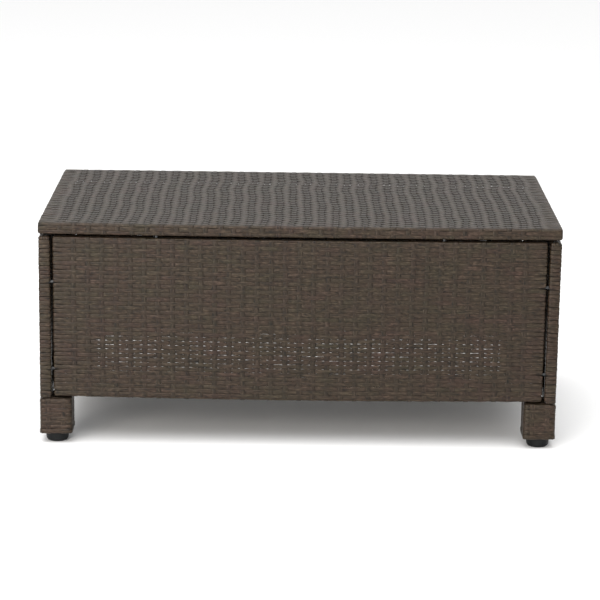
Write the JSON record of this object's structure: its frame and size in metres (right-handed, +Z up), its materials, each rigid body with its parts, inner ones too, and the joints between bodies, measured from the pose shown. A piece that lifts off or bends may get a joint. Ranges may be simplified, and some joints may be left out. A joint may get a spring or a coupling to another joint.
{
  "type": "wicker coffee table",
  "caption": "Low rectangular outdoor table with woven resin top, front, back and sides over steel tube frames, open underneath, on short woven legs with screw-in levelling feet.",
  "frame": {"origin": "on the floor, at the centre of the table's footprint", "axes": "+X to the table's right along its length, +Y to its back, +Z up; the front panel faces -Y"},
  "size_m": [0.9, 0.488, 0.395],
  "materials": {
    "woven_strand": "semi-matt grey-brown resin strand with a fine lengthwise grain",
    "frame_steel": "dark brown powder coat",
    "zinc_steel": "bright zinc plate",
    "foot_plastic": "black moulded plastic"
  },
  "bodies": {
    "table": {"top_frame": "frame_steel", "front_panel_frame": "frame_steel", "back_panel_frame": "frame_steel", "left_side_frame": "frame_steel", "right_side_frame": "frame_steel", "top_weave": "woven_strand", "front_panel_weave": "woven_strand", "back_panel_weave": "woven_strand", "left_side_weave": "woven_strand", "right_side_weave": "woven_strand", "front_left_leg_weave": "woven_strand", "front_right_leg_weave": "woven_strand", "back_left_leg_weave": "woven_strand", "back_right_leg_weave": "woven_strand", "front_left_upper_bolt": "zinc_steel", "front_left_upper_washer": "zinc_steel", "front_left_upper_rivet_nut": "zinc_steel", "front_left_lower_bolt": "zinc_steel", "front_left_lower_washer": "zinc_steel", "front_left_lower_rivet_nut": "zinc_steel", "front_left_top_bolt": "zinc_steel", "front_left_top_washer": "zinc_steel", "front_left_top_rivet_nut": "zinc_steel", "front_right_upper_bolt": "zinc_steel", "front_right_upper_washer": "zinc_steel", "front_right_upper_rivet_nut": "zinc_steel", "front_right_lower_bolt": "zinc_steel", "front_right_lower_washer": "zinc_steel", "front_right_lower_rivet_nut": "zinc_steel", "front_right_top_bolt": "zinc_steel", "front_right_top_washer": "zinc_steel", "front_right_top_rivet_nut": "zinc_steel", "back_left_upper_bolt": "zinc_steel", "back_left_upper_washer": "zinc_steel", "back_left_upper_rivet_nut": "zinc_steel", "back_left_lower_bolt": "zinc_steel", "back_left_lower_washer": "zinc_steel", "back_left_lower_rivet_nut": "zinc_steel", "back_left_top_bolt": "zinc_steel", "back_left_top_washer": "zinc_steel", "back_left_top_rivet_nut": "zinc_steel", "back_right_upper_bolt": "zinc_steel", "back_right_upper_washer": "zinc_steel", "back_right_upper_rivet_nut": "zinc_steel", "back_right_lower_bolt": "zinc_steel", "back_right_lower_washer": "zinc_steel", "back_right_lower_rivet_nut": "zinc_steel", "back_right_top_bolt": "zinc_steel", "back_right_top_washer": "zinc_steel", "back_right_top_rivet_nut": "zinc_steel"},
    "front_left_foot": {"front_left_foot_pad": "foot_plastic", "front_left_foot_stud": "zinc_steel"},
    "front_right_foot": {"front_right_foot_pad": "foot_plastic", "front_right_foot_stud": "zinc_steel"},
    "back_left_foot": {"back_left_foot_pad": "foot_plastic", "back_left_foot_stud": "zinc_steel"},
    "back_right_foot": {"back_right_foot_pad": "foot_plastic", "back_right_foot_stud": "zinc_steel"}
  },
  "joints": [
    {"name": "front_left_foot_level", "type": "slide", "parent": "table", "child": "front_left_foot", "axis": [0, 0, -1], "range_m": [0, 0.01]},
    {"name": "front_right_foot_level", "type": "slide", "parent": "table", "child": "front_right_foot", "axis": [0, 0, -1], "range_m": [0, 0.01]},
    {"name": "back_left_foot_level", "type": "slide", "parent": "table", "child": "back_left_foot", "axis": [0, 0, -1], "range_m": [0, 0.01]},
    {"name": "back_right_foot_level", "type": "slide", "parent": "table", "child": "back_right_foot", "axis": [0, 0, -1], "range_m": [0, 0.01]}
  ]
}
